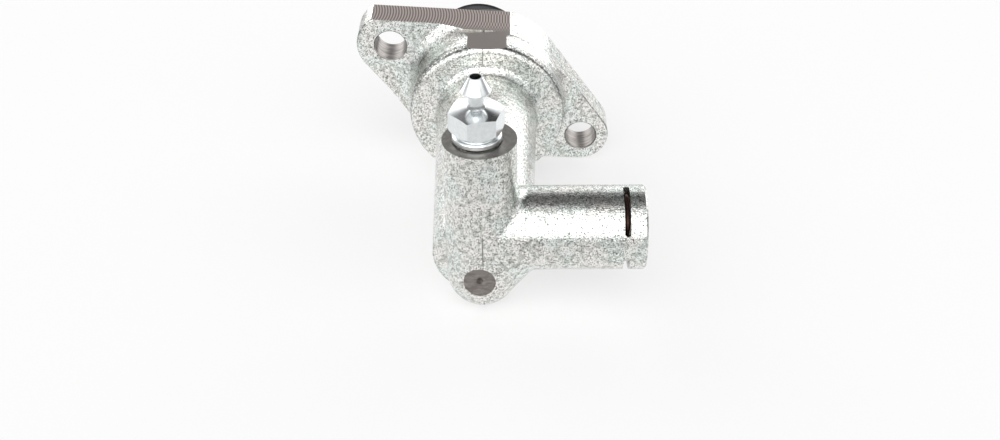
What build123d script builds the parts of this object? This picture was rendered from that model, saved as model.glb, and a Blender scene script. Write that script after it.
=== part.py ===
"""Clutch slave cylinder: cast aluminium body, bleed screw, quick-connect port, piston, pushrod and boot.

Millimetres. The origin is the centre of the flange's mounting face, on the bore's axis.
+Y runs along the bore to the pushrod, -Y to the pipe end, and +Z up to the bleed screw.
"""
import os
from math import cos, radians, sin, sqrt, tan

from build123d import *

# Mounting flange
flange_thickness = 9.0
flange_edge_radius = 0.7
bolt_circle = 60.0
bolt_tilt = 29.2  # turn of the bolt line below level, seen from the pipe end
bolt_hole_radius = 4.3
bolt_hole_edge = 0.25
upper_ear_radius = 9.2
lower_ear_radius = 7.8
flange_core_step = 0.2  # how far the plate's middle stands out beyond the hub

# Hub and barrel
hub_radius = 20.8
hub_length = 13.0
hub_edge_radius = 1.9
ear_cove_radius = 5.5
barrel_root_radius = 13.4
barrel_end_radius = 11.75
barrel_end_edge = 0.7
barrel_root_fillet = 3.0
barrel_end = -83.0

# Milled flats on top: one across the flange, one on the hub
flat_height = 20.43
flat_tilt = 3.9
hub_flat_depth = 0.65
hub_flat_tilt = 0.7
hub_flat_length = 10.5

# Pilot behind the flange and the groove that holds the boot
pilot_radius = 15.25
pilot_length = 6.5
pilot_edge = 0.8
boot_groove_setback = 1.0  # from the pilot's end to the groove
boot_groove_depth = 0.8
boot_groove_width = 2.5
snout_radius = 13.2
snout_end = 12.0
snout_edge = 0.5

# Bore and its stop
bore_radius = 9.525
bore_bottom = -77.0
bore_mouth_chamfer = 0.6
stop_washer_thickness = 1.2
stop_washer_hole = 7.8
circlip_groove_depth = 1.15
circlip_thickness = 1.1
circlip_width = 2.0
circlip_groove_play = 0.1
circlip_start = 8.5

# Bleed boss at the pipe end
boss_place = -86.0
boss_radius = 8.2
boss_foot = -2.2
boss_top = 33.6
spot_face_radius = 3.6
spot_face_depth = 0.9
spot_face_tilt = 17.0  # how far the face looks up
centre_mark_radius = 0.8

# Quick-connect pipe port
port_radius = 9.6
port_end = 37.0
port_height = 8.8
port_start = 2.6
port_edge = 0.4
port_mouth_radius = 7.7
port_mouth_depth = 10.5
port_seal_radius = 5.0
port_seal_depth = 12.0
port_lead_in = 1.2
gusset_reach = 8.0
gusset_inset = 0.15
junction_fillet = 2.5

# Clip slots through the port's wall
slot_count = 3
slot_direction = 63.5  # first slot, turned from the -Y side up towards +Z
slot_span = 83.0  # angle that a slot takes up round the port
slot_width = 1.4
slot_place = 4.5  # slot centre, back from the port's end
slot_overrun = 1.5  # how far the cutter runs past the wall's inside and outside
clip_wire_radius = 0.55
clip_land_play = 0.2  # between the wire and the port's wall
clip_lobe_reach = 8.35  # to the wire's centre line where it stands out in a slot
clip_lobe_half_angle = 26.0
clip_land_half_angle = 16.0
clip_end_angle = 30.0

# Passages
bleed_passage_radius = 1.6
port_passage_radius = 1.75
bore_passage_radius = 1.4
bore_passage_height = 5.5
drill_point = 1.0

# Bleed screw
screw_offset = -0.5  # the screw stands a little to the left of its boss
thread_radius = 5.0
thread_clearance = 0.05
thread_start = 18.0
seat_height = 13.0
seat_top_radius = 4.0
seat_gap = 0.05
boss_countersink = 0.7
hex_across_flats = 10.8
hex_turn = -16.4
hex_bottom = 35.6
hex_top = 41.2
hex_face_radius = 4.9
hex_lower_edge = 1.3
hex_upper_edge = 0.9
collar_radius = 4.95
nipple_foot_radius = 2.3
nipple_neck_radius = 1.75
nipple_foot_height = 0.7
nipple_neck_length = 2.85
nipple_bulb_radius = 3.4
nipple_bulb_slope = 0.95
nipple_bulb_edge = 0.6
nipple_tip_radius = 1.85
nipple_tip_length = 2.7
bleed_drilling_radius = 1.2
cross_drilling_radius = 0.8

# Piston, its seals and the pushrod
piston_clearance = 0.045
piston_length = 34.0
piston_skirt_radius = 6.0
piston_skirt_depth = 10.3
socket_radius = 4.7
ball_radius = 4.5
ball_place = -9.0
ball_gap = 0.1
rod_radius = 4.0
rod_neck_radius = 3.2
rod_neck_end = -0.5
rod_tip_radius = 3.6
rod_tip_length = 7.4
rod_tip = 38.0
rod_lean = 6.0  # the rod hangs this far to the left at rest
rod_clip_place = -6.4
rod_clip_ring_radius = 4.75
rod_clip_wire_radius = 0.5
rod_clip_play = 0.1
seal_clearance = 0.025
seal_groove_start = -16.0
seal_groove_width = 3.6
seal_groove_radius = 6.6
cup_length = 5.0
cup_base = 2.2
cup_lip = 1.5
cup_hollow_radius = 7.7

# Return spring and its seat
spring_wire_radius = 0.6
spring_coil_radius = 6.4
spring_turns = 9
spring_end_gap = 0.1
spring_seat_thickness = 1.2
spring_seat_radius = 7.5
spring_seat_nose_radius = 4.9
spring_seat_nose = 4.0

# Dust boot and its ring
boot_wall = 1.1
boot_collar_thickness = 1.4
boot_web_reach = 0.6
boot_bead = 0.4
boot_fit = 0.02
boot_lip_fit = 0.08
boot_ring_stand = 1.0  # ring's centre line, out from the snout
boot_ring_wire_radius = 0.7
boot_folds = 2
boot_nose_start = 23.6
boot_nose_radius = 9.4
boot_end = 29.6
boot_fold_depth = 1.9

# Worked-out places
flange_core_radius = hub_radius + flange_core_step
boot_groove_start = pilot_length + boot_groove_setback
boot_groove_radius = snout_radius - boot_groove_depth
boot_collar_radius = snout_radius + boot_collar_thickness
boot_web_radius = snout_radius - boot_web_reach
boot_ring_radius = snout_radius + boot_ring_stand
nipple_foot_top = hex_top + nipple_foot_height
nipple_neck_top = nipple_foot_top + nipple_neck_length
nipple_bulb_low = nipple_neck_top + nipple_bulb_slope
nipple_bulb_high = nipple_bulb_low + nipple_bulb_edge
nipple_top = nipple_bulb_high + nipple_tip_length
hub_front = -flange_thickness - hub_length
circlip_end = circlip_start + circlip_thickness
stop_face = circlip_start - stop_washer_thickness
piston_front = stop_face - piston_length
cup_front = piston_front - cup_length
spring_seat_face = piston_front - cup_base
port_place = boss_place - boss_radius + port_radius
slot_centre = port_end - slot_place
upper_ear = (-bolt_circle / 2 * cos(radians(bolt_tilt)), bolt_circle / 2 * sin(radians(bolt_tilt)))
lower_ear = (-upper_ear[0], -upper_ear[1])


def rounded_outline(points, roundings):
    """A closed outline, with the corners named in roundings turned into arcs."""
    outline = make_face(Polyline(*points, close=True))
    for place, radius in roundings:
        corner = outline.vertices().sort_by_distance((place[0], place[1], 0))[0]
        outline = fillet(corner, radius)
    return outline


def turned_on_bore(points, roundings=()):
    """Turn an outline of (y, radius) points about the bore's axis."""
    return revolve(Plane.YZ * rounded_outline(points, roundings), Axis.Y, 360)


def turned_upright(points, roundings=()):
    """Turn an outline of (radius, z) points about the Z axis."""
    return revolve(Plane.XZ * rounded_outline(points, roundings), Axis.Z, 360)


def bore_cylinder(radius, start, end):
    """A cylinder on the bore's axis between two places along Y."""
    return extrude(Plane.XZ.offset(-end) * Circle(radius), end - start)


def bore_ring(ring_radius, wire_radius, place):
    """A closed wire ring round the bore's axis."""
    return revolve(Plane.YZ * Pos(place, ring_radius) * Circle(wire_radius), Axis.Y, 360)


def port_cylinder(radius, start, end):
    """A cylinder on the port's axis between two places along X."""
    return Pos(start, port_place, port_height) * extrude(Plane.YZ * Circle(radius), end - start)


def flange():
    """The two-eared plate, with the cove that runs from each ear up to the hub."""
    circles = [
        Circle(flange_core_radius),
        Pos(*upper_ear) * Circle(upper_ear_radius),
        Pos(*lower_ear) * Circle(lower_ear_radius),
    ]
    outline = Plane.XZ * make_hull([circle.edge() for circle in circles])
    plate = extrude(outline, flange_thickness)
    plate = fillet(plate.edges().group_by(Axis.Y)[0], flange_edge_radius)
    cove_outline = rounded_outline(
        [
            (-flange_thickness + flange_edge_radius, hub_radius - ear_cove_radius),
            (-flange_thickness + flange_edge_radius, hub_radius + ear_cove_radius),
            (-flange_thickness, hub_radius + ear_cove_radius),
            (-flange_thickness - ear_cove_radius, hub_radius),
            (-flange_thickness - ear_cove_radius, hub_radius - ear_cove_radius),
        ],
        [],
    )
    hollow = Pos(-flange_thickness - ear_cove_radius, hub_radius + ear_cove_radius) * Circle(ear_cove_radius)
    cove = revolve(Plane.YZ * (cove_outline - hollow), Axis.Y, 360)
    ears_ahead = extrude(outline, flange_thickness + ear_cove_radius)
    return plate + (cove & ears_ahead)


def hub_and_barrel():
    """The turned forms of the casting: hub in front, then the tapered barrel."""
    hub_face_width = hub_radius - barrel_root_radius
    root_fillet = min(barrel_root_fillet, hub_face_width / 2)
    return turned_on_bore(
        [
            (0, 0),
            (0, pilot_radius),
            (-flange_thickness / 2, hub_radius),
            (hub_front, hub_radius),
            (hub_front, barrel_root_radius),
            (barrel_end, barrel_end_radius),
            (barrel_end, 0),
        ],
        [
            ((hub_front, hub_radius), hub_edge_radius),
            ((hub_front, barrel_root_radius), root_fillet),
            ((barrel_end, barrel_end_radius), barrel_end_edge),
        ],
    )


def snout():
    """The pilot behind the flange and the grooved snout that carries the boot."""
    return turned_on_bore(
        [
            (-1, 0),
            (-1, pilot_radius),
            (pilot_length - pilot_edge, pilot_radius),
            (pilot_length, pilot_radius - pilot_edge),
            (pilot_length, snout_radius),
            (boot_groove_start, snout_radius),
            (boot_groove_start, boot_groove_radius),
            (boot_groove_start + boot_groove_width, boot_groove_radius),
            (boot_groove_start + boot_groove_width, snout_radius),
            (snout_end - snout_edge, snout_radius),
            (snout_end, snout_radius - snout_edge),
            (snout_end, 0),
        ]
    )


def gusset():
    """The web under the port: a cone that runs from the boss's foot up into the port."""
    foot = Vector(0, boss_place, boss_foot)
    reach = Vector(gusset_reach, port_place, port_height)
    line = reach - foot
    upright = Align.CENTER, Align.CENTER, Align.MIN
    web = Cone(boss_radius - gusset_inset, port_radius - gusset_inset, line.length, align=upright)
    return Plane(foot, z_dir=line) * web


def pipe_end():
    """Boss, port and the web between them, as cast."""
    boss_outline = make_face(
        [
            Line((0, boss_foot - boss_radius), (0, boss_top)),
            Line((0, boss_top), (boss_radius, boss_top)),
            Line((boss_radius, boss_top), (boss_radius, boss_foot)),
            CenterArc((0, boss_foot), boss_radius, -90, 90),
        ]
    )
    boss = Pos(0, boss_place, 0) * revolve(Plane.XZ * boss_outline, Axis.Z, 360)
    port_outline = make_face(
        [
            Line((port_start - port_radius, 0), (port_end, 0)),
            Line((port_end, 0), (port_end, port_radius - port_edge)),
            Line((port_end, port_radius - port_edge), (port_end - port_edge, port_radius)),
            Line((port_end - port_edge, port_radius), (port_start, port_radius)),
            CenterArc((port_start, 0), port_radius, 90, 90),
        ]
    )
    port = Pos(0, port_place, port_height) * revolve(Plane.XZ * port_outline, Axis.X, 360)
    joined = boss + gusset() + port
    return fillet(joined.edges().filter_by(GeomType.BSPLINE), junction_fillet)


def milled_flats():
    """What the cutter takes off the top of the flange and of the hub."""
    upright = Align.CENTER, Align.MAX, Align.MIN
    across_flange = Box(3 * bolt_circle, -hub_front + 2, bolt_circle, align=upright)
    along_hub = Box(hub_radius, hub_flat_length + 1, bolt_circle, align=upright)
    hub_flat_height = hub_radius - hub_flat_depth
    return [
        Pos(0, 1, flat_height) * Rot(0, flat_tilt, 0) * across_flange,
        Pos(0, hub_front + hub_flat_length, hub_flat_height) * Rot(0, hub_flat_tilt, 0) * along_hub,
    ]


def bolt_holes():
    """The two clearance holes, with a broken edge on the camera side and behind."""
    holes = Part()
    for ear in (upper_ear, lower_ear):
        drill = turned_on_bore(
            [
                (-flange_thickness - 1, 0),
                (-flange_thickness - 1, bolt_hole_radius + bolt_hole_edge + 1),
                (-flange_thickness + bolt_hole_edge, bolt_hole_radius),
                (-bolt_hole_edge, bolt_hole_radius),
                (1, bolt_hole_radius + bolt_hole_edge + 1),
                (1, 0),
            ]
        )
        holes += Pos(ear[0], 0, ear[1]) * drill
    return holes


def spot_face():
    """The round face machined on the nose, with its centre mark."""
    reach = boss_radius - spot_face_depth
    cutter = turned_on_bore(
        [
            (-boss_radius - 1, 0),
            (-boss_radius - 1, spot_face_radius),
            (-reach, spot_face_radius),
            (-reach, centre_mark_radius),
            (-reach + centre_mark_radius, 0),
        ]
    )
    return Pos(screw_offset, boss_place, boss_foot) * Rot(-spot_face_tilt, 0, 0) * cutter


def cylinder_bore():
    """The blind bore with its mouth chamfer and circlip groove."""
    groove_radius = bore_radius + circlip_groove_depth
    groove_end = circlip_end + circlip_groove_play
    return turned_on_bore(
        [
            (bore_bottom, 0),
            (bore_bottom, bore_radius),
            (circlip_start, bore_radius),
            (circlip_start, groove_radius),
            (groove_end, groove_radius),
            (groove_end, bore_radius),
            (snout_end - bore_mouth_chamfer, bore_radius),
            (snout_end + 1, bore_radius + bore_mouth_chamfer + 1),
            (snout_end + 1, 0),
        ]
    )


def bleed_hole():
    """The upright hole for the bleed screw, its seat and the drilling below."""
    seat_top = seat_height + seat_top_radius - bleed_passage_radius
    passage_foot = bore_passage_height - bore_passage_radius - drill_point
    hole = turned_upright(
        [
            (0, passage_foot - drill_point),
            (bleed_passage_radius, passage_foot),
            (bleed_passage_radius, seat_height),
            (seat_top_radius, seat_top),
            (seat_top_radius, thread_start),
            (thread_radius, thread_start),
            (thread_radius, boss_top - boss_countersink),
            (thread_radius + boss_countersink + 1, boss_top + 1),
            (0, boss_top + 1),
        ]
    )
    return Pos(screw_offset, boss_place, 0) * hole


def fluid_passages():
    """From the port to the bleed hole, and from there to the top of the bore."""
    to_port = port_cylinder(port_passage_radius, -1, port_end - port_mouth_depth)
    to_bore = bore_cylinder(bore_passage_radius, boss_place - 0.5, bore_bottom + 1)
    return to_port, Pos(screw_offset, 0, bore_passage_height) * to_bore


def port_bore():
    """The stepped socket for the pipe."""
    seal_start = port_end - port_mouth_depth
    outline = make_face(
        Polyline(
            (port_end + 1, 0),
            (port_end + 1, port_mouth_radius + 0.8),
            (port_end - 0.5, port_mouth_radius),
            (seal_start, port_mouth_radius),
            (seal_start, port_seal_radius + port_lead_in),
            (seal_start - port_lead_in, port_seal_radius),
            (seal_start - port_seal_depth, port_seal_radius),
            (seal_start - port_seal_depth, 0),
            close=True,
        )
    )
    socket = revolve(Plane.XZ * outline, Axis.X, 360)
    return Pos(0, port_place, port_height) * socket


def across_port(turn):
    """A frame in the slots' plane, turned about the port's axis; its -Y looks out through a slot."""
    return Pos(slot_centre, port_place, port_height) * Rot(-turn, 0, 0)


def clip_slots():
    """Three slots through the port's wall, evenly spaced, with rounded ends."""
    middle_radius = (port_mouth_radius + port_radius) / 2
    end_turn = slot_span / 2 - (slot_width / 2) / radians(1) / middle_radius
    reach = port_radius - port_mouth_radius + 2 * slot_overrun
    section = Pos(0, -middle_radius) * Rectangle(slot_width, reach)
    sector = Rot(end_turn, 0, 0) * revolve(section, Axis.X, -2 * end_turn)
    ending = Pos(0, -middle_radius, 0) * Rot(90, 0, 0) * Cylinder(slot_width / 2, reach)
    slot = sector + Rot(end_turn, 0, 0) * ending + Rot(-end_turn, 0, 0) * ending
    return [across_port(slot_direction + index * 360 / slot_count) * slot for index in range(slot_count)]


def body_casting():
    """The whole casting, machined."""
    casting = flange() + hub_and_barrel() + snout() + pipe_end()
    for flat in milled_flats():
        casting -= flat
    casting -= bolt_holes()
    casting -= spot_face()
    casting -= cylinder_bore()
    casting -= bleed_hole()
    for passage in fluid_passages():
        casting -= passage
    casting -= port_bore()
    for slot in clip_slots():
        casting -= slot
    return casting


def bleed_screw():
    """The screw from its seat cone to the hose nipple."""
    seat_top = seat_height + seat_top_radius - bleed_passage_radius
    cone_drop = seat_gap * sqrt(2)
    shank_radius = seat_top_radius - 0.4
    thread_foot = thread_start + 0.6
    fit_radius = thread_radius - thread_clearance
    stem = turned_upright(
        [
            (0, seat_height - 0.4),
            (bleed_passage_radius - 0.4 - cone_drop, seat_height - 0.4),
            (shank_radius, seat_top - 0.4 + cone_drop),
            (shank_radius, thread_foot - 0.3),
            (fit_radius - 0.9, thread_foot - 0.3),
            (fit_radius, thread_foot + 0.6),
            (collar_radius, hex_bottom),
            (collar_radius, hex_bottom + hex_lower_edge),
            (nipple_foot_radius, hex_top - hex_upper_edge),
            (nipple_foot_radius, hex_top),
            (nipple_neck_radius, nipple_foot_top),
            (nipple_neck_radius, nipple_neck_top),
            (nipple_bulb_radius, nipple_bulb_low),
            (nipple_bulb_radius, nipple_bulb_high),
            (nipple_tip_radius, nipple_top),
            (0, nipple_top),
        ],
        [((nipple_neck_radius, nipple_foot_top), 0.5)],
    )
    circumradius = hex_across_flats / 2 / cos(radians(30))
    nut_blank = extrude(RegularPolygon(circumradius, 6, rotation=hex_turn + 30), hex_top - hex_bottom)
    nut_form = turned_upright(
        [
            (0, 0),
            (hex_face_radius, 0),
            (circumradius, hex_lower_edge),
            (circumradius, hex_top - hex_bottom - hex_upper_edge),
            (hex_face_radius, hex_top - hex_bottom),
            (0, hex_top - hex_bottom),
        ]
    )
    screw = stem + Pos(0, 0, hex_bottom) * (nut_blank & nut_form)
    upright = Align.CENTER, Align.CENTER, Align.MIN
    drilling = Pos(0, 0, seat_top) * Cylinder(bleed_drilling_radius, nipple_top, align=upright)
    cross = Pos(0, 0, seat_top + cross_drilling_radius) * Rot(0, 90, 0) * Cylinder(
        cross_drilling_radius, 2 * thread_radius
    )
    return Pos(screw_offset, boss_place, 0) * (screw - drilling - cross)


def piston():
    """The piston: two lands, the secondary seal's groove and the rod's socket."""
    radius = bore_radius - piston_clearance
    seal_groove_end = seal_groove_start + seal_groove_width
    blank = turned_on_bore(
        [
            (piston_front, 0),
            (piston_front, radius - 0.5),
            (piston_front + 0.5, radius),
            (seal_groove_start, radius),
            (seal_groove_start, seal_groove_radius),
            (seal_groove_end, seal_groove_radius),
            (seal_groove_end, radius),
            (stop_face - 0.5, radius),
            (stop_face, radius - 0.5),
            (stop_face, 0),
        ]
    )
    skirt_floor = stop_face - piston_skirt_depth
    clip_half = rod_clip_wire_radius + rod_clip_play
    socket = turned_on_bore(
        [
            (ball_place, 0),
            (ball_place, socket_radius),
            (rod_clip_place - clip_half, socket_radius),
            (rod_clip_place - clip_half, rod_clip_ring_radius + clip_half),
            (rod_clip_place + clip_half, rod_clip_ring_radius + clip_half),
            (rod_clip_place + clip_half, socket_radius),
            (skirt_floor, socket_radius),
            (skirt_floor + piston_skirt_radius - socket_radius, piston_skirt_radius),
            (stop_face + 1, piston_skirt_radius),
            (stop_face + 1, 0),
        ]
    )
    seat = Pos(0, ball_place, 0) * Sphere(ball_radius + ball_gap)
    return blank - socket - seat


def primary_cup():
    """The pressure seal, a cup whose lip faces the fluid."""
    radius = bore_radius - seal_clearance
    return turned_on_bore(
        [
            (piston_front, 0),
            (piston_front, radius - 0.6),
            (piston_front - 1.0, radius - 0.3),
            (cup_front + 1.2, radius),
            (cup_front, radius - 0.5),
            (cup_front, radius - cup_lip),
            (spring_seat_face, cup_hollow_radius),
            (spring_seat_face, 0),
        ]
    )


def secondary_seal():
    """The ring seal in the piston's groove, with its lip towards the fluid."""
    radius = bore_radius - seal_clearance
    groove_end = seal_groove_start + seal_groove_width
    lip_root = seal_groove_start + 1.9
    return turned_on_bore(
        [
            (seal_groove_start + 0.2, seal_groove_radius),
            (seal_groove_start + 0.2, seal_groove_radius + 1.0),
            (lip_root, seal_groove_radius + 1.2),
            (seal_groove_start + 0.2, radius - 0.8),
            (seal_groove_start + 0.7, radius),
            (groove_end - 0.4, radius - 0.5),
            (groove_end - 0.2, seal_groove_radius),
        ]
    )


def spring_seat():
    """The pressed seat that spreads the spring's load on the cup."""
    back = spring_seat_face - spring_seat_thickness
    return turned_on_bore(
        [
            (spring_seat_face, 0),
            (spring_seat_face, spring_seat_radius),
            (back, spring_seat_radius),
            (back, spring_seat_nose_radius),
            (back - spring_seat_nose + 0.8, spring_seat_nose_radius),
            (back - spring_seat_nose, spring_seat_nose_radius - 0.8),
            (back - spring_seat_nose, 0),
        ],
        [((spring_seat_face, spring_seat_radius), 0.3)],
    )


def return_spring():
    """The coil spring between the bore's floor and the seat, with its ends ground flat."""
    start = bore_bottom + spring_end_gap
    end = spring_seat_face - spring_seat_thickness - spring_end_gap
    pitch = (end - start) / spring_turns
    coil_plane = Plane((0, start, 0), x_dir=(1, 0, 0), z_dir=(0, 1, 0))
    coil = Helix(pitch, end - start, spring_coil_radius)
    wire = sweep(Plane(coil @ 0, z_dir=coil % 0) * Circle(spring_wire_radius), path=coil, is_frenet=True)
    return (coil_plane * wire) & bore_cylinder(bore_radius, start, end)


def pushrod():
    """The rod with its ball, waist and turned-down, rounded tip, hanging to the left."""
    neck_meets_ball = ball_place + sqrt(ball_radius**2 - rod_neck_radius**2)
    shank = turned_on_bore(
        [
            (ball_place, 0),
            (ball_place, rod_neck_radius),
            (neck_meets_ball, rod_neck_radius),
            (rod_neck_end, rod_neck_radius),
            (rod_neck_end + rod_radius - rod_neck_radius, rod_radius),
            (rod_tip - rod_tip_length, rod_radius),
            (rod_tip - rod_tip_length + rod_radius - rod_tip_radius, rod_tip_radius),
            (rod_tip - rod_tip_radius, rod_tip_radius),
            (rod_tip - rod_tip_radius, 0),
        ]
    )
    ball = Pos(0, ball_place, 0) * Sphere(ball_radius)
    tip = Pos(0, rod_tip - rod_tip_radius, 0) * Sphere(rod_tip_radius)
    return leaned(shank + ball + tip)


def leaned(piece):
    """Swing a piece about the rod's ball, to where the rod hangs at rest."""
    return Pos(0, ball_place, 0) * Rot(0, 0, rod_lean) * Pos(0, -ball_place, 0) * piece


def pushrod_clip():
    """The wire ring in the piston that keeps the ball in its socket."""
    return bore_ring(rod_clip_ring_radius, rod_clip_wire_radius, rod_clip_place)


def stop_washer():
    """The washer that the piston comes to rest on."""
    outer = bore_radius - 0.1
    ring = bore_cylinder(outer, stop_face, circlip_start)
    return ring - bore_cylinder(stop_washer_hole, stop_face - 1, circlip_start + 1)


def bore_circlip():
    """The internal circlip, an open ring with two drilled lugs."""
    outer = bore_radius + circlip_groove_depth - 0.1
    inner = outer - circlip_width
    half_gap = 24
    lug_radius = 1.6
    ring = Circle(outer) - Circle(inner)
    reach = 2 * outer
    wedge = make_face(
        Polyline(
            (0, 0),
            (-reach * sin(radians(half_gap)), -reach * cos(radians(half_gap))),
            (reach * sin(radians(half_gap)), -reach * cos(radians(half_gap))),
            close=True,
        )
    )
    ring -= wedge
    for side in (-1, 1):
        swing = radians(half_gap + 6) * side
        lug_place = (inner - 0.2) * sin(swing), -(inner - 0.2) * cos(swing)
        ring += Pos(*lug_place) * Circle(lug_radius)
        ring -= Pos(*lug_place) * Circle(lug_radius / 2.5)
    return extrude(Plane.XZ.offset(-circlip_end) * ring, circlip_thickness)


def port_clip():
    """The sprung wire in the port: it stands out into two slots and its ends meet near the third."""
    land_reach = port_mouth_radius - clip_land_play - clip_wire_radius
    half_step = 180 / slot_count
    first_land = slot_direction - half_step
    land_turns = (-clip_land_half_angle, 0, clip_land_half_angle)
    lobe_turns = (-clip_lobe_half_angle, 0, clip_lobe_half_angle)
    stations = [(first_land - clip_end_angle, land_reach)]
    for index in range(slot_count):
        land = first_land + index * 2 * half_step
        stations += [(land + turn, land_reach) for turn in land_turns]
        if index < slot_count - 1:
            lobe = land + half_step
            stations += [(lobe + turn, clip_lobe_reach) for turn in lobe_turns]
    stations.append((land + clip_end_angle, land_reach))
    centre = Vector(slot_centre, port_place, port_height)
    points = [
        centre + Vector(0, -reach * cos(radians(turn)), reach * sin(radians(turn))) for turn, reach in stations
    ]
    path = Spline(*points)
    return sweep(Plane(path @ 0, z_dir=path % 0) * Circle(clip_wire_radius), path=path)


def boot_centre(place):
    """How far left the boot's middle lies at a place along Y: from its nose on it follows the rod."""
    share = (place - snout_end - boot_wall) / (boot_nose_start - snout_end - boot_wall)
    return -max(0, min(1, share)) * (place - ball_place) * tan(radians(rod_lean))


def boot_form(points):
    """A solid through circles given as (y, radius), each centred where the boot lies there."""
    rings = [Pos(boot_centre(place), place, 0) * (Plane.XZ * Circle(radius)) for place, radius in points]
    return loft(rings, ruled=True)


def boot_folds_and_nose():
    """The thin part of the boot: folds, nose and the lip on the rod."""
    collar_end = snout_end + boot_wall
    root_radius = boot_collar_radius - boot_bead
    outer = [(collar_end - boot_wall / 2, root_radius), (collar_end, root_radius)]
    inner = [(collar_end - boot_wall, root_radius - boot_wall), (collar_end, root_radius - boot_wall)]
    fold_length = (boot_nose_start - collar_end) / boot_folds
    fold_drop = (boot_collar_radius - boot_nose_radius) / boot_folds
    for index in range(boot_folds):
        valley_place = collar_end + (index + 0.45) * fold_length
        crest_place = collar_end + (index + 1) * fold_length
        crest_radius = boot_collar_radius - (index + 1) * fold_drop
        valley_radius = crest_radius + fold_drop * 0.35 - boot_fold_depth
        outer += [(valley_place, valley_radius), (crest_place, crest_radius)]
        inner += [
            (valley_place - boot_wall * 0.4, valley_radius - boot_wall),
            (crest_place - boot_wall * 0.4, crest_radius - boot_wall * 1.3),
        ]
    lip_radius = rod_radius + boot_lip_fit
    outer += [
        (boot_nose_start + 2.6, boot_nose_radius - 0.3),
        (boot_end - 1.0, rod_radius + 1.9),
        (boot_end, rod_radius + 1.6),
    ]
    inner += [
        (boot_nose_start + 1.6, boot_nose_radius - 0.3 - boot_wall * 1.3),
        (boot_end - 2.8, lip_radius),
        (boot_end + 1, lip_radius),
    ]
    return boot_form(outer) - boot_form(inner)


def boot_collar():
    """The thick collar that sits in the snout's groove under its ring."""
    groove_start = boot_groove_start
    collar_end = snout_end + boot_wall
    ring_half = boot_ring_wire_radius
    ring_place = groove_start + boot_groove_width / 2
    return turned_on_bore(
        [
            (groove_start, boot_collar_radius),
            (ring_place - ring_half, boot_collar_radius),
            (ring_place - ring_half, boot_ring_radius - ring_half),
            (ring_place + ring_half, boot_ring_radius - ring_half),
            (ring_place + ring_half, boot_collar_radius),
            (collar_end, boot_collar_radius),
            (collar_end, boot_web_radius),
            (snout_end, boot_web_radius),
            (snout_end, snout_radius + boot_fit),
            (groove_start + boot_groove_width, snout_radius + boot_fit),
            (groove_start + boot_groove_width, boot_groove_radius + boot_fit),
            (groove_start, boot_groove_radius + boot_fit),
        ]
    )


def dust_boot():
    """The rubber boot between the snout and the rod, leaning with the rod."""
    return boot_collar() + boot_folds_and_nose()


def boot_ring():
    """The wire ring that holds the boot in its groove."""
    return bore_ring(boot_ring_radius, boot_ring_wire_radius, boot_groove_start + boot_groove_width / 2)


pieces = {
    "body_casting": body_casting,
    "bleed_screw": bleed_screw,
    "piston": piston,
    "primary_cup": primary_cup,
    "secondary_seal": secondary_seal,
    "spring_seat": spring_seat,
    "return_spring": return_spring,
    "pushrod": pushrod,
    "pushrod_clip": pushrod_clip,
    "stop_washer": stop_washer,
    "bore_circlip": bore_circlip,
    "port_clip": port_clip,
    "dust_boot": dust_boot,
    "boot_ring": boot_ring,
}

os.makedirs("parts", exist_ok=True)
for name, make_piece in pieces.items():
    piece = make_piece()
    export_step(piece, f"parts/{name}.step")
    print(name, "solids", len(piece.solids()), "volume", round(piece.volume, 1))
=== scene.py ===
import math
import bmesh
import bpy
from mathutils import Matrix, Vector


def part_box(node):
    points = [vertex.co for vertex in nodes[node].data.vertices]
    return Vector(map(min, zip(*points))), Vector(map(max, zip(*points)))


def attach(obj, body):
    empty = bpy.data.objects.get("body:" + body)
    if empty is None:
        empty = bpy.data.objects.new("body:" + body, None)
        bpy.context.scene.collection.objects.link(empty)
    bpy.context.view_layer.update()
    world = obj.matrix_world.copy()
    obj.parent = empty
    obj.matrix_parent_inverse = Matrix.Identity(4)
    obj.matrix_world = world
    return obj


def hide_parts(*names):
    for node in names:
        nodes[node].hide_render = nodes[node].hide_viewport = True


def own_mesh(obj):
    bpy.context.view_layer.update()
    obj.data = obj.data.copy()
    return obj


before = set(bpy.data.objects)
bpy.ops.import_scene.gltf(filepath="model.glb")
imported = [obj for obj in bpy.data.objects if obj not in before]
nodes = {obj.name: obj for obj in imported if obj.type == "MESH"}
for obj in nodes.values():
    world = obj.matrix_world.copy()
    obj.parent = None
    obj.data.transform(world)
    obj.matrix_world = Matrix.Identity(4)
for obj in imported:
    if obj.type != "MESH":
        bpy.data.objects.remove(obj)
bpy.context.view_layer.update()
mm = 0.001
print("frame loaded:", len(nodes), "nodes")


# an sRGB hex code as linear red, green, blue and alpha
def toLinear(code):
    channels = [int(code[i:i + 2], 16) / 255 for i in (1, 3, 5)]
    return tuple(c / 12.92 if c <= 0.04045 else ((c + 0.055) / 1.055) ** 2.4 for c in channels) + (1.0,)


# a new node: a socket given as an input is linked, anything else becomes the input's own value
def addNode(tree, kind, inputs=None, **settings):
    node = tree.nodes.new(kind)
    for name, value in settings.items():
        setattr(node, name, value)
    for name, value in (inputs or {}).items():
        if isinstance(value, bpy.types.NodeSocket):
            tree.links.new(value, node.inputs[name])
        else:
            node.inputs[name].default_value = value
    return node


def calc(tree, operation, first, second=None):
    inputs = {0: first}
    if second is not None:
        inputs[1] = second
    return addNode(tree, "ShaderNodeMath", inputs, operation=operation).outputs[0]


def calcVector(tree, operation, first, second=None):
    inputs = {0: first}
    if second is not None:
        inputs["Scale" if operation == "SCALE" else 1] = second
    outputs = addNode(tree, "ShaderNodeVectorMath", inputs, operation=operation).outputs
    return outputs["Value" if operation in ("LENGTH", "DOT_PRODUCT") else "Vector"]


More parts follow.
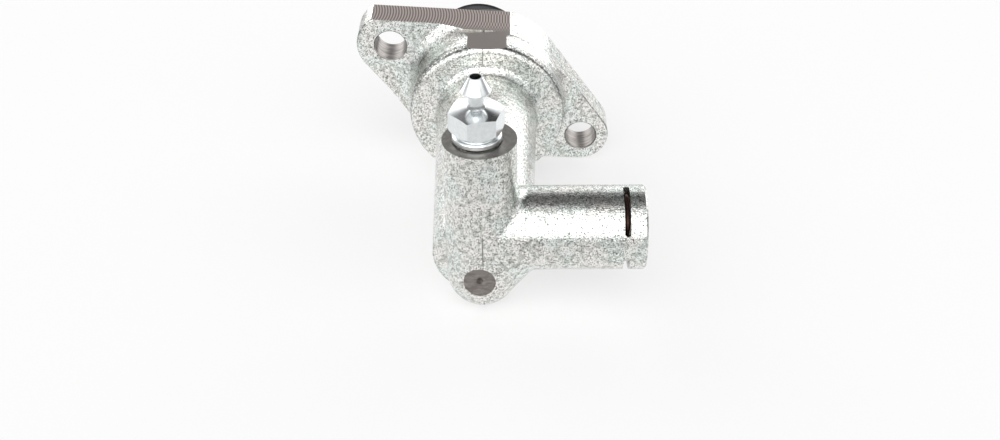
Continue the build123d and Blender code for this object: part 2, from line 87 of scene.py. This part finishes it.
def mapRange(tree, value, low, high, toLow=0.0, toHigh=1.0, **settings):
    inputs = {"Value": value, "From Min": low, "From Max": high, "To Min": toLow, "To Max": toHigh}
    return addNode(tree, "ShaderNodeMapRange", inputs, **settings).outputs[0]


def noise(tree, place, size, detail):
    inputs = {"Vector": place, "Scale": 1 / size, "Detail": detail}
    return addNode(tree, "ShaderNodeTexNoise", inputs).outputs["Fac"]


def mixColour(tree, share, below, above, blend="MIX"):
    inputs = {0: share, 6: below, 7: above}
    return addNode(tree, "ShaderNodeMix", inputs, data_type="RGBA", blend_type=blend).outputs[2]


def colourRamp(tree, factor, stops):
    node = addNode(tree, "ShaderNodeValToRGB", {"Fac": factor})
    elements = node.color_ramp.elements
    while len(elements) < len(stops):
        elements.new(0.5)
    for element, (position, code) in zip(elements, stops):
        element.position = position
        element.color = toLinear(code)
    return node.outputs["Color"]


# a material with object coordinates in millimetres, so that every scale below is one over a real size
def startMaterial(name):
    material = bpy.data.materials.new(name)
    material.use_nodes = True
    tree = material.node_tree
    tree.nodes.clear()
    place = addNode(tree, "ShaderNodeTexCoord").outputs["Object"]
    return material, tree, calcVector(tree, "SCALE", place, 1 / mm)


def closeMaterial(tree, colour, roughness, metallic, height=None, relief=0.0):
    inputs = {"Base Color": colour, "Roughness": roughness, "Metallic": metallic}
    if height is not None:
        bump = addNode(tree, "ShaderNodeBump", {"Height": height, "Distance": relief * mm})
        inputs["Normal"] = bump.outputs["Normal"]
    shader = addNode(tree, "ShaderNodeBsdfPrincipled", inputs)
    addNode(tree, "ShaderNodeOutputMaterial", {"Surface": shader.outputs["BSDF"]})


# shot-blasted aluminium die casting: a light grey skin of tiny dents with dark pits, sizes in mm
castSkin = {
    "dentSize": 0.36, "dentDetail": 1.5, "relief": 0.07, "roughness": 0.27, "pitShift": (37.0, 11.0, 5.0),
    "pitSize": 0.3, "pitDetail": 1.0, "pits": [(0.31, "#3c3d3a"), (0.39, "#b9bab7"), (0.48, "#fdfdfc")],
    "blotchSize": 1.1, "blotchDetail": 2.0, "blotches": [(0.36, "#d2d4d1"), (0.52, "#ffffff")],
    "tintSize": 7.0, "tintDetail": 1.0, "tints": [(0.40, "#f6faf8"), (0.60, "#fcfaf8")],
}
# boxes in mm, each from its low to its high corner, where a short thin line of painted shade stands for the
# shadow of the small step along the casting's parting line, which is not modelled
partingLineShade = {
    "colour": "#8f908d",
    "boxes": (
        ((0.2, -97.0, 5.2), (0.5, -90.0, 13.0)), ((0.2, -97.0, -9.8), (0.5, -88.0, -6.3)),
        ((-0.9, -23.0, 15.8), (-0.6, -21.0, 20.3)),
    ),
}
# the low step between the two milled flats, cut by the same tool; its face is painted dark as shade
shadedStep = {"colour": "#57524f", "boxes": (((-8.0, -9.8, 19.7), (6.0, -7.0, 22.5)),)}
# painted shade: dark broken lines along the hub's and the flange's front edges, where the rounded edges fall
# dark; a band is where it starts and ends along Y and the radius beyond which it shows
edgeShadeLines = {
    "colour": "#4a4a48", "bands": ((-21.2, -18.4, 20.35), (-8.8, -8.25, 21.3)),
    "grain": 0.5, "detail": 2.0, "breakLow": 0.4, "breakHigh": 0.56, "strength": 0.85,
}
# the round pad milled on the nose: its axis starts at the boss's foot and looks up by the tilt
pad = {"foot": (-0.5, -86.0, -2.2), "tilt": 17.0, "radius": 3.65, "colour": "#8a8480", "roughness": 0.4}


def padOutward():
    lean = math.radians(pad["tilt"])
    return Vector((0, -math.cos(lean), math.sin(lean)))


def bandMask(tree, value, low, high):
    above = calc(tree, "GREATER_THAN", value, low)
    below = calc(tree, "LESS_THAN", value, high)
    return calc(tree, "MULTIPLY", above, below)


def boxesMask(tree, inMm, boxes):
    part = addNode(tree, "ShaderNodeSeparateXYZ", {0: inMm}).outputs
    total = 0.0
    for low, high in boxes:
        inside = 1.0
        for axis in range(3):
            inside = calc(tree, "MULTIPLY", inside, bandMask(tree, part[axis], low[axis], high[axis]))
        total = calc(tree, "MAXIMUM", total, inside)
    return total


# the mask of the painted shade lines along the front edges, broken up by a noise
def edgeShadeMask(tree, inMm):
    s = edgeShadeLines
    along = addNode(tree, "ShaderNodeSeparateXYZ", {0: inMm}).outputs["Y"]
    radius = calcVector(tree, "LENGTH", calcVector(tree, "MULTIPLY", inMm, (1.0, 0.0, 1.0)))
    total = 0.0
    for low, high, beyond in s["bands"]:
        outside = calc(tree, "GREATER_THAN", radius, beyond)
        line = calc(tree, "MULTIPLY", outside, bandMask(tree, along, low, high))
        total = calc(tree, "MAXIMUM", total, line)
    breaks = noise(tree, inMm, s["grain"], s["detail"])
    share = mapRange(tree, breaks, s["breakLow"], s["breakHigh"], toHigh=s["strength"])
    return calc(tree, "MULTIPLY", total, share)


def padMask(tree, inMm):
    outward = padOutward()
    fromFoot = calcVector(tree, "SUBTRACT", inMm, pad["foot"])
    depth = calcVector(tree, "DOT_PRODUCT", fromFoot, outward)
    aside = calcVector(tree, "SUBTRACT", fromFoot, calcVector(tree, "SCALE", outward, depth))
    near = calc(tree, "LESS_THAN", calcVector(tree, "LENGTH", aside), pad["radius"])
    return calc(tree, "MULTIPLY", near, calc(tree, "GREATER_THAN", depth, 0.0))


def castAluminium():
    s = castSkin
    material, tree, inMm = startMaterial("shotBlastedCasting")
    dents = noise(tree, inMm, s["dentSize"], s["dentDetail"])
    shifted = calcVector(tree, "ADD", inMm, s["pitShift"])
    colour = colourRamp(tree, noise(tree, shifted, s["pitSize"], s["pitDetail"]), s["pits"])
    blotches = colourRamp(tree, noise(tree, shifted, s["blotchSize"], s["blotchDetail"]), s["blotches"])
    tints = colourRamp(tree, noise(tree, inMm, s["tintSize"], s["tintDetail"]), s["tints"])
    for over in (blotches, tints):
        colour = mixColour(tree, 1.0, colour, over, "MULTIPLY")
    milled = padMask(tree, inMm)
    # mixed into the skin: the painted edge shade, the painted dark step face, the painted shade lines of the
    # parting line and the milled pad's own tone
    marksAndShade = (
        (edgeShadeMask(tree, inMm), edgeShadeLines), (boxesMask(tree, inMm, shadedStep["boxes"]), shadedStep),
        (boxesMask(tree, inMm, partingLineShade["boxes"]), partingLineShade), (milled, pad),
    )
    for mask, markOrShade in marksAndShade:
        colour = mixColour(tree, mask, colour, toLinear(markOrShade["colour"]))
    roughness = mapRange(tree, milled, 0.0, 1.0, s["roughness"], pad["roughness"])
    closeMaterial(tree, colour, roughness, 1.0, dents, s["relief"])
    return material


# the milled flats, in mm: the tool's arcs run along X and bow by their radius about a middle along Y
flyCut = {
    "arcRadius": 17.0, "arcMiddle": -4.5, "pitch": 0.76, "roughness": 0.34, "hubTone": "#938c88",
    "tones": [(0.15, "#756d69"), (0.85, "#cabcb7")], "waveSpan": 1.2,
    "hubEnd": -12.0, "flangeStart": -9.0, "trailFrom": -6.0, "trailFull": 2.0,
}


def flyCutAluminium():
    s = flyCut
    material, tree, inMm = startMaterial("flyCutAluminium")
    part = addNode(tree, "ShaderNodeSeparateXYZ", {0: inMm}).outputs
    across = calc(tree, "SUBTRACT", part["Y"], s["arcMiddle"])
    bow = calc(tree, "DIVIDE", calc(tree, "MULTIPLY", across, across), 2 * s["arcRadius"])
    waves = []
    for side in ("ADD", "SUBTRACT"):
        turn = calc(tree, "MULTIPLY", calc(tree, side, part["X"], bow), 2 * math.pi / s["pitch"])
        waves.append(calc(tree, "SINE", turn))
    # the trailing edge of the cutter marks only the right half
    trail = mapRange(tree, part["X"], s["trailFrom"], s["trailFull"])
    both = calc(tree, "ADD", waves[0], calc(tree, "MULTIPLY", waves[1], trail))
    lines = colourRamp(tree, mapRange(tree, both, -s["waveSpan"], s["waveSpan"]), s["tones"])
    fade = mapRange(tree, part["Y"], s["hubEnd"], s["flangeStart"])
    colour = mixColour(tree, fade, toLinear(s["hubTone"]), lines)
    closeMaterial(tree, colour, s["roughness"], 1.0)
    return material


# drilled, reamed and faced metal: soft marks drawn out along the cut, their length by axis in mm
turned = {
    "reamedAluminium": {
        "stretch": (4.0, 0.5, 4.0), "tones": [(0.38, "#716d6a"), (0.62, "#a39e9a")], "roughness": 0.33},
    "spotFacedAluminium": {
        "stretch": (1.6, 1.6, 0.5), "tones": [(0.38, "#736e6a"), (0.62, "#8f8985")], "roughness": 0.4},
    "facedBossAluminium": {
        "stretch": (1.2, 1.2, 1.2), "tones": [(0.38, "#86837f"), (0.62, "#96938f")], "roughness": 0.38},
}
markDetail = 2.0


def turnedAluminium(name):
    s = turned[name]
    material, tree, inMm = startMaterial(name)
    drawnOut = calcVector(tree, "DIVIDE", inMm, s["stretch"])
    colour = colourRamp(tree, noise(tree, drawnOut, 1.0, markDetail), s["tones"])
    closeMaterial(tree, colour, s["roughness"], 1.0)
    return material


# plated, drawn, ground and moulded surfaces: tones by a fine grain, a shine and a slight relief, sizes in mm
grained = {
    "brightZincPlate": {
        "metallic": 1.0, "tones": [(0.35, "#eaeeef"), (0.6, "#f2f5f6")], "roughness": 0.17,
        "grain": 0.9, "relief": 0.0008},
    "oilBlackenedWire": {
        "metallic": 1.0, "tones": [(0.35, "#33231f"), (0.6, "#4a3630")], "roughness": 0.38,
        "grain": 0.4, "relief": 0.01},
    "groundRodSteel": {
        "metallic": 1.0, "tones": [(0.35, "#a9aaa7"), (0.6, "#c4c5c2")], "roughness": 0.28,
        "grain": 0.3, "relief": 0.004},
    "hardAnodisedAluminium": {
        "metallic": 1.0, "tones": [(0.35, "#7a7c7c"), (0.6, "#8a8c8c")], "roughness": 0.4,
        "grain": 0.4, "relief": 0.006},
    "mouldedBootRubber": {
        "metallic": 0.0, "tones": [(0.4, "#1d1e20"), (0.65, "#26272a")], "roughness": 0.32,
        "grain": 0.5, "relief": 0.02},
    "sealRubber": {
        "metallic": 0.0, "tones": [(0.4, "#1c1c1d"), (0.65, "#242425")], "roughness": 0.45,
        "grain": 0.4, "relief": 0.01},
}


def grainedMaterial(name):
    s = grained[name]
    material, tree, inMm = startMaterial(name)
    grain = noise(tree, inMm, s["grain"], markDetail)
    colour = colourRamp(tree, grain, s["tones"])
    closeMaterial(tree, colour, s["roughness"], s["metallic"], grain, s["relief"])
    return material


casting = castAluminium()
zinc = grainedMaterial("brightZincPlate")
wire = grainedMaterial("oilBlackenedWire")
rodSteel = grainedMaterial("groundRodSteel")
anodised = grainedMaterial("hardAnodisedAluminium")
bootRubber = grainedMaterial("mouldedBootRubber")
sealRubber = grainedMaterial("sealRubber")
finishes = {
    "body_casting": casting, "bleed_screw": zinc, "piston": anodised, "primary_cup": sealRubber,
    "secondary_seal": sealRubber, "spring_seat": zinc, "return_spring": wire, "pushrod": rodSteel,
    "pushrod_clip": wire, "stop_washer": zinc, "bore_circlip": wire, "port_clip": wire,
    "dust_boot": bootRubber, "boot_ring": wire,
}
for name, finish in finishes.items():
    nodes[name].data.materials.clear()
    nodes[name].data.materials.append(finish)
print("finishes on:", len(finishes))

# where the casting was cut, in mm and degrees, as drawn in the CAD
cuts = {
    "flats": ((20.43, 3.9), (20.15, 0.7)), "flatsEnd": -25.0, "levelNormal": 0.9, "slack": 0.03,
    "bossAxis": (-0.5, -86.0), "bossTop": 33.6, "topRadius": 8.3, "holeRadius": 7.0, "holeFoot": 9.0,
    "spotReach": 7.3, "spotDepth": 1.5, "spotRim": 3.5,
    "ears": ((-26.19, 14.64), (26.19, -14.64)), "boltRadius": 4.7, "boreRadius": 10.9, "boreFloor": -77.2,
    "portAxis": (-84.6, 8.8), "portRadius": 8.6, "portFloor": 14.0, "mountingFace": -0.02,
}
# the casting's material slots: 0 is the cast skin, the others are the cut faces
cutSlots = {"skin": 0, "flyCut": 1, "reamed": 2, "spotFaced": 3, "facedBoss": 4}


def cutFaceSlot(place, normal):
    s = cuts
    x, y, z = place
    for height, tilt in s["flats"]:
        lean = math.radians(tilt)
        offFlat = x * math.sin(lean) + (z - height) * math.cos(lean)
        if abs(offFlat) < s["slack"] and normal.z > s["levelNormal"] and y > s["flatsEnd"]:
            return cutSlots["flyCut"]
    fromBoss = math.hypot(x - s["bossAxis"][0], y - s["bossAxis"][1])
    if fromBoss < s["topRadius"] and abs(z - s["bossTop"]) < s["slack"]:
        return cutSlots["facedBoss"]
    if fromBoss < s["holeRadius"] and z > s["holeFoot"]:
        return cutSlots["reamed"]
    outward = padOutward()
    fromFoot = place - Vector(pad["foot"])
    depth = fromFoot.dot(outward)
    aside = (fromFoot - outward * depth).length
    deepEnough = depth > s["spotReach"] - s["spotDepth"]
    if aside < pad["radius"] and deepEnough and (depth < s["spotReach"] + s["slack"] or aside > s["spotRim"]):
        return cutSlots["spotFaced"]
    inBolt = any(math.hypot(x - ear[0], z - ear[1]) < s["boltRadius"] for ear in s["ears"])
    inBore = math.hypot(x, z) < s["boreRadius"] and y > s["boreFloor"]
    inPort = math.hypot(y - s["portAxis"][0], z - s["portAxis"][1]) < s["portRadius"] and x > s["portFloor"]
    if inBolt or inBore or inPort or y > s["mountingFace"]:
        return cutSlots["reamed"]
    return cutSlots["skin"]


def finishCuts():
    mesh = nodes["body_casting"].data
    mesh.materials.append(flyCutAluminium())
    for name in turned:
        mesh.materials.append(turnedAluminium(name))
    for face in mesh.polygons:
        face.material_index = cutFaceSlot(face.center / mm, face.normal)
    print("cut faces:", sum(1 for face in mesh.polygons if face.material_index))


finishCuts()


def addPiece(name, mesh, slot, body, *replaced):
    piece = bpy.data.objects.new(name, mesh)
    bpy.context.scene.collection.objects.link(piece)
    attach(piece, body)
    if replaced:
        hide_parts(*replaced)
    print(name + ":", len(mesh.polygons), "faces")
    return piece


def closeMesh(form, name, sharpAngle, material):
    bmesh.ops.recalc_face_normals(form, faces=form.faces)
    mesh = bpy.data.meshes.new(name)
    form.to_mesh(mesh)
    form.free()
    mesh.shade_smooth()
    mesh.set_sharp_from_angle(angle=math.radians(sharpAngle))
    mesh.materials.append(material)
    return mesh


# the bleed screw in mm, with its plated hexagon, coned crown and hose nipple;
# outlines are (radius, height) points
screw = {
    "axis": (-0.5, -86.0), "columns": 96, "sharpAngle": 28,
    "shank": (
        (0.0, 12.6), (1.15, 12.6), (3.6, 14.95), (3.6, 18.3), (4.05, 18.3), (4.95, 19.2), (4.95, 33.75)),
    "collarFoot": ((5.2, 33.75), (5.5, 34.05)), "collarRim": (4.8, 34.55), "collarEdge": 0.7, "rimSteps": 5,
    "groove": ((4.7, 35.25), (4.7, 35.7), (5.0, 35.7)),
    "hexFoot": 35.7, "hexTop": 40.8, "acrossFlats": 10.8, "hexTurn": 12.9, "hexFace": 5.0, "hexLower": 1.2,
    "crown": 1.0, "crownRadius": 2.1,
    "neck": ((2.1, 41.8), (1.89, 42.4), (1.83, 42.7), (1.83, 44.75)),
    "bulb": ((3.15, 45.45), (3.3, 45.6), (3.3, 45.8), (3.2, 45.9), (1.7, 48.85), (1.6, 49.0)),
    "drilling": ((1.25, 49.0), (1.25, 15.4), (0.0, 14.15)),
}


# the outline that the lathe turns, from the seat up and down the drilling; the hexagon's two rows are named
def screwRows():
    s = screw
    quarter = [math.radians(90 * i / s["rimSteps"]) for i in range(s["rimSteps"] + 1)]
    middle, height = s["collarRim"]
    rim = [(middle + s["collarEdge"] * math.cos(t), height + s["collarEdge"] * math.sin(t)) for t in quarter]
    below = [*s["shank"], *s["collarFoot"], *rim, *s["groove"]]
    return [*below, "hexLow", "hexHigh", *s["neck"], *s["bulb"], *s["drilling"]]


def hexPoint(row, column):
    s = screw
    inner = s["acrossFlats"] / 2
    corner = inner / math.cos(math.radians(30))
    radius = inner / math.cos(math.radians((column * 360 / s["columns"]) % 60 - 30))
    if row == "hexLow":
        return radius, s["hexFoot"] + s["hexLower"] * (radius - s["hexFace"]) / (corner - s["hexFace"])
    return radius, s["hexTop"] + s["crown"] * (corner - radius) / (corner - s["crownRadius"])


def makeScrew():
    s = screw
    columns = s["columns"]
    form = bmesh.new()
    rings = []
    for row in screwRows():
        ring = []
        for column in range(1 if row[0] == 0.0 else columns):
            radius, height = hexPoint(row, column) if isinstance(row, str) else row
            around = math.radians(s["hexTurn"] + column * 360 / columns)
            x = s["axis"][0] + radius * math.cos(around)
            y = s["axis"][1] + radius * math.sin(around)
            ring.append(form.verts.new((x * mm, y * mm, height * mm)))
        rings.append(ring)
    # a ring of one point closes the end, where two corners of each face are the same
    for a, b in zip(rings, rings[1:]):
        for i in range(columns):
            j = (i + 1) % columns
            corners = (a[i % len(a)], a[j % len(a)], b[j % len(b)], b[i % len(b)])
            form.faces.new(list(dict.fromkeys(corners)))
    mesh = closeMesh(form, "bleedScrew", s["sharpAngle"], zinc)
    addPiece("bleedScrew", mesh, "zinc_plate", "bleed_screw", "bleed_screw")


makeScrew()

# the dust boot in mm: a collar in the snout's groove, then folds down to a nose and a lip that grips the rod;
# outlines are (place along the bore, radius) points, and the folds drift to the line of the rod, which leans
boot = {
    "collar": (
        (7.5, 12.42), (7.5, 14.3), (7.8, 14.6), (8.05, 14.6), (8.05, 13.5), (9.45, 13.5), (9.45, 14.6),
        (12.3, 14.6), (12.85, 14.35), (13.1, 13.8), (13.1, 9.0), (12.02, 9.0), (12.02, 13.22), (10.0, 13.22),
        (10.0, 12.42)),
    "foldsOuter": (
        (11.5, 14.2), (13.1, 14.2), (15.4625, 11.01), (18.35, 13.3), (20.7125, 8.41), (23.6, 9.4),
        (26.4, 8.4), (28.7, 5.9), (29.6, 5.5)),
    "foldsInner": (
        (11.5, 13.7), (13.1, 13.1), (15.2625, 9.91), (17.95, 11.98), (20.5125, 7.31), (23.2, 8.08),
        (25.6, 7.2), (27.2, 4.08), (29.6, 4.08)),
    "driftStart": 13.1, "driftEnd": 18.3, "ball": -9.0, "lean": 6.0, "columns": 96, "between": 6,
    "sharpAngle": 50, "snoutEnd": 12.02, "end": 29.6, "stroke": "piston_stroke", "strokeLength": 16.0,
}


# a smooth line through (place, radius) points, with some more between each two
def smoothOutline(points, between):
    line = []
    for i in range(len(points) - 1):
        before, a, b, after = (Vector(points[max(0, min(len(points) - 1, i + k))]) for k in (-1, 0, 1, 2))
        for k in range(between):
            t = k / between
            bend = (2 * before - 5 * a + 4 * b - after) * t * t + (3 * a - before - 3 * b + after) * t ** 3
            line.append(0.5 * (2 * a + (b - before) * t + bend))
    line.append(Vector(points[-1]))
    return [tuple(p) for p in line]


# a closed ring of rubber turned on the bore's axis, with its middle drifting to the rod's line
def turnedRubber(name, outline):
    s = boot
    columns = s["columns"]
    form = bmesh.new()
    rings = []
    for place, radius in outline:
        share = max(0.0, min(1.0, (place - s["driftStart"]) / (s["driftEnd"] - s["driftStart"])))
        aside = -share * (place - s["ball"]) * math.tan(math.radians(s["lean"]))
        ring = []
        for column in range(columns):
            around = 2 * math.pi * column / columns
            x = aside + radius * math.cos(around)
            ring.append(form.verts.new((x * mm, place * mm, radius * math.sin(around) * mm)))
        rings.append(ring)
    for a, b in zip(rings, rings[1:] + rings[:1]):
        for i in range(columns):
            j = (i + 1) % columns
            form.faces.new((a[i], a[j], b[j], b[i]))
    return closeMesh(form, name, s["sharpAngle"], bootRubber)


def makeBoot():
    s = boot
    addPiece("bootCollar", turnedRubber("bootCollar", s["collar"]), "boot_rubber", "root", "dust_boot")
    outer = smoothOutline(s["foldsOuter"], s["between"])
    inner = smoothOutline(s["foldsInner"], s["between"])
    folds = addPiece("bootFolds", turnedRubber("bootFolds", outer + inner[::-1]), "boot_rubber", "pushrod")
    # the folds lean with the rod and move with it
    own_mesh(folds)


makeBoot()

# the return spring in mm: a coil of oil-hardened wire, made by a node tree
spring = {"turns": 9.0, "coilRadius": 6.4, "wireRadius": 0.6, "stepsPerTurn": 48, "wireSides": 16}


def coilTree():
    tree = bpy.data.node_groups.new("coilOfWire", "GeometryNodeTree")
    tree.interface.new_socket("Geometry", in_out="OUTPUT", socket_type="NodeSocketGeometry")
    for name in ("Turns", "Coil radius", "Wire radius", "Length", "Start"):
        tree.interface.new_socket(name, in_out="INPUT", socket_type="NodeSocketFloat")
    given = addNode(tree, "NodeGroupInput").outputs
    coil = addNode(tree, "GeometryNodeCurveSpiral", {
        "Resolution": spring["stepsPerTurn"], "Rotations": given["Turns"], "Height": given["Length"],
        "Start Radius": given["Coil radius"], "End Radius": given["Coil radius"]}).outputs[0]
    shift = addNode(tree, "ShaderNodeCombineXYZ", {"Y": given["Start"]}).outputs[0]
    laid = addNode(tree, "GeometryNodeTransform", {
        "Geometry": coil, "Translation": shift, "Rotation": (math.radians(-90), 0, 0)}).outputs[0]
    section = addNode(tree, "GeometryNodeCurvePrimitiveCircle", {
        "Resolution": spring["wireSides"], "Radius": given["Wire radius"]}).outputs[0]
    wound = addNode(tree, "GeometryNodeCurveToMesh", {
        "Curve": laid, "Profile Curve": section, "Fill Caps": True}).outputs[0]
    smooth = addNode(tree, "GeometryNodeSetShadeSmooth", {"Geometry": wound}).outputs[0]
    real = addNode(tree, "GeometryNodeRealizeInstances", {"Geometry": smooth}).outputs[0]
    finished = addNode(tree, "GeometryNodeSetMaterial", {"Geometry": real, "Material": wire}).outputs[0]
    addNode(tree, "NodeGroupOutput", {"Geometry": finished})
    return tree


def makeSpring():
    s = spring
    low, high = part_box("return_spring")
    tree = coilTree()
    holder = bpy.data.objects.new("coilMaker", bpy.data.meshes.new("coilMaker"))
    bpy.context.scene.collection.objects.link(holder)
    maker = holder.modifiers.new("coil", "NODES")
    maker.node_group = tree
    sizes = {
        "Turns": s["turns"], "Coil radius": s["coilRadius"] * mm, "Wire radius": s["wireRadius"] * mm,
        "Length": high[1] - low[1] - 2 * s["wireRadius"] * mm, "Start": low[1] + s["wireRadius"] * mm,
    }
    for item in tree.interface.items_tree:
        if item.item_type == "SOCKET" and item.in_out == "INPUT":
            maker[item.identifier] = sizes[item.name]
    made = holder.evaluated_get(bpy.context.evaluated_depsgraph_get())
    mesh = bpy.data.meshes.new_from_object(made)
    bpy.data.objects.remove(holder)
    mesh.name = "returnSpring"
    piece = addPiece("returnSpring", mesh, "spring_steel", "root", "return_spring")
    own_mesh(piece)


makeSpring()

# the camera, fitted to the casting: place in mm, angles in degrees, nearest seen in m
cameraView = {
    "place": (8.1, -322.5, 184.7), "turn": 0.948, "down": 36.15, "roll": -0.89,
    "lens": 46.8, "sensor": 36.0, "nearest": 0.01,
}


def placeCamera():
    s = cameraView
    data = bpy.data.cameras.new("camera")
    data.lens = s["lens"]
    data.sensor_width = s["sensor"]
    data.clip_start = s["nearest"]
    camera = bpy.data.objects.new("camera", data)
    bpy.context.scene.collection.objects.link(camera)
    turn = Matrix.Rotation(math.radians(s["turn"]), 4, "Z")
    lean = Matrix.Rotation(math.radians(90 - s["down"]), 4, "X")
    roll = Matrix.Rotation(math.radians(s["roll"]), 4, "Z")
    camera.matrix_world = Matrix.Translation(Vector(s["place"]) * mm) @ turn @ lean @ roll
    bpy.context.scene.camera = camera


placeCamera()

# pale table: the cylinder lies on its flange's lower edge and on the foot of its boss, nose down;
# place, near and far in mm, size in m, and the shares of white that the camera and the metal see
table = {
    "place": (-0.44, -87.11, -10.35), "normal": (0.05362, 0.13547, 0.98933), "size": 6.0,
    "colour": "#fdfdfd", "farColour": "#8c8c8c", "near": 70.0, "far": 260.0, "glow": 0.58, "mirrorGlow": 0.7,
}


def tableMaterial():
    s = table
    material = bpy.data.materials.new("paleTable")
    material.use_nodes = True
    tree = material.node_tree
    tree.nodes.clear()
    ray = addNode(tree, "ShaderNodeLightPath").outputs
    seen = ray["Is Camera Ray"]
    # the pale sheet ends some way off, which only the metal's reflections show
    reach = calcVector(tree, "LENGTH", addNode(tree, "ShaderNodeTexCoord").outputs["Object"])
    sheet = mapRange(tree, reach, s["near"] * mm, s["far"] * mm, 1.0, 0.0)
    pale = calc(tree, "MAXIMUM", seen, sheet)
    tone = colourRamp(tree, pale, [(0.0, s["farColour"]), (1.0, s["colour"])])
    matt = addNode(tree, "ShaderNodeBsdfDiffuse", {"Color": tone}).outputs[0]
    white = addNode(tree, "ShaderNodeEmission", {"Color": toLinear("#ffffff"), "Strength": 1.0}).outputs[0]
    seenShare = calc(tree, "MULTIPLY", seen, s["glow"])
    mirrorShare = calc(tree, "MULTIPLY", calc(tree, "MULTIPLY", ray["Is Glossy Ray"], sheet), s["mirrorGlow"])
    share = calc(tree, "MAXIMUM", seenShare, mirrorShare)
    mixed = addNode(tree, "ShaderNodeMixShader", {0: share, 1: matt, 2: white}).outputs[0]
    addNode(tree, "ShaderNodeOutputMaterial", {"Surface": mixed})
    return material


def layTable():
    s = table
    tilt = Vector(s["normal"]).to_track_quat("Z", "Y").to_matrix()
    half = s["size"] / 2
    place = Vector(s["place"]) * mm
    signs = ((-1, -1), (1, -1), (1, 1), (-1, 1))
    corners = [place + tilt @ Vector((half * a, half * b, 0)) for a, b in signs]
    mesh = bpy.data.meshes.new("table")
    mesh.from_pydata([tuple(c) for c in corners], [], [(0, 1, 2, 3)])
    mesh.materials.append(tableMaterial())
    surface = bpy.data.objects.new("table", mesh)
    bpy.context.scene.collection.objects.link(surface)


layTable()

# the room's light: an even base, and soft panels as turn from the front and rise in degrees, and strength;
# a panel is full within one angle of its middle and has faded out at another
room = {"base": 0.05, "full": 8.0, "faded": 38.0}
panels = {
    "front": (0, 8, 1.65), "frontMiddle": (0, 34, 0.7), "frontHigh": (0, 55, 1.5),
    "frontRight": (55, 38, 0.5), "frontLeft": (-55, 38, 0.9), "lowLeft": (-45, 8, 1.1),
    "lowRight": (45, 8, 0.7), "right": (85, 10, 0.4), "behindRight": (142, 10, 1.8),
    "behind": (180, 8, 0.9), "behindLeft": (-140, 8, 1.75), "left": (-95, 12, 0.5),
    "leftHigh": (-120, 40, 0.4), "above": (0, 85, 0.15),
}


def lightRoom():
    world = bpy.data.worlds.new("room")
    bpy.context.scene.world = world
    world.use_nodes = True
    tree = world.node_tree
    tree.nodes.clear()
    way = addNode(tree, "ShaderNodeTexCoord").outputs["Generated"]
    edge, core = (math.cos(math.radians(room[name])) for name in ("faded", "full"))
    total = room["base"]
    for turn, rise, strength in panels.values():
        around = math.radians(turn)
        up = math.radians(rise)
        toward = (math.sin(around) * math.cos(up), -math.cos(around) * math.cos(up), math.sin(up))
        facing = calcVector(tree, "DOT_PRODUCT", way, toward)
        share = mapRange(tree, facing, edge, core, toHigh=strength, interpolation_type="SMOOTHSTEP")
        total = calc(tree, "ADD", total, share)
    white = toLinear("#ffffff")
    light = addNode(tree, "ShaderNodeBackground", {"Color": white, "Strength": total}).outputs[0]
    plain = addNode(tree, "ShaderNodeBackground", {"Color": white, "Strength": 1.0}).outputs[0]
    seen = addNode(tree, "ShaderNodeLightPath").outputs["Is Camera Ray"]
    mixed = addNode(tree, "ShaderNodeMixShader", {0: seen, 1: light, 2: plain}).outputs[0]
    addNode(tree, "ShaderNodeOutputWorld", {"Surface": mixed})


lightRoom()
bpy.context.scene.view_settings.view_transform = "Standard"
print("camera, table and light in place")
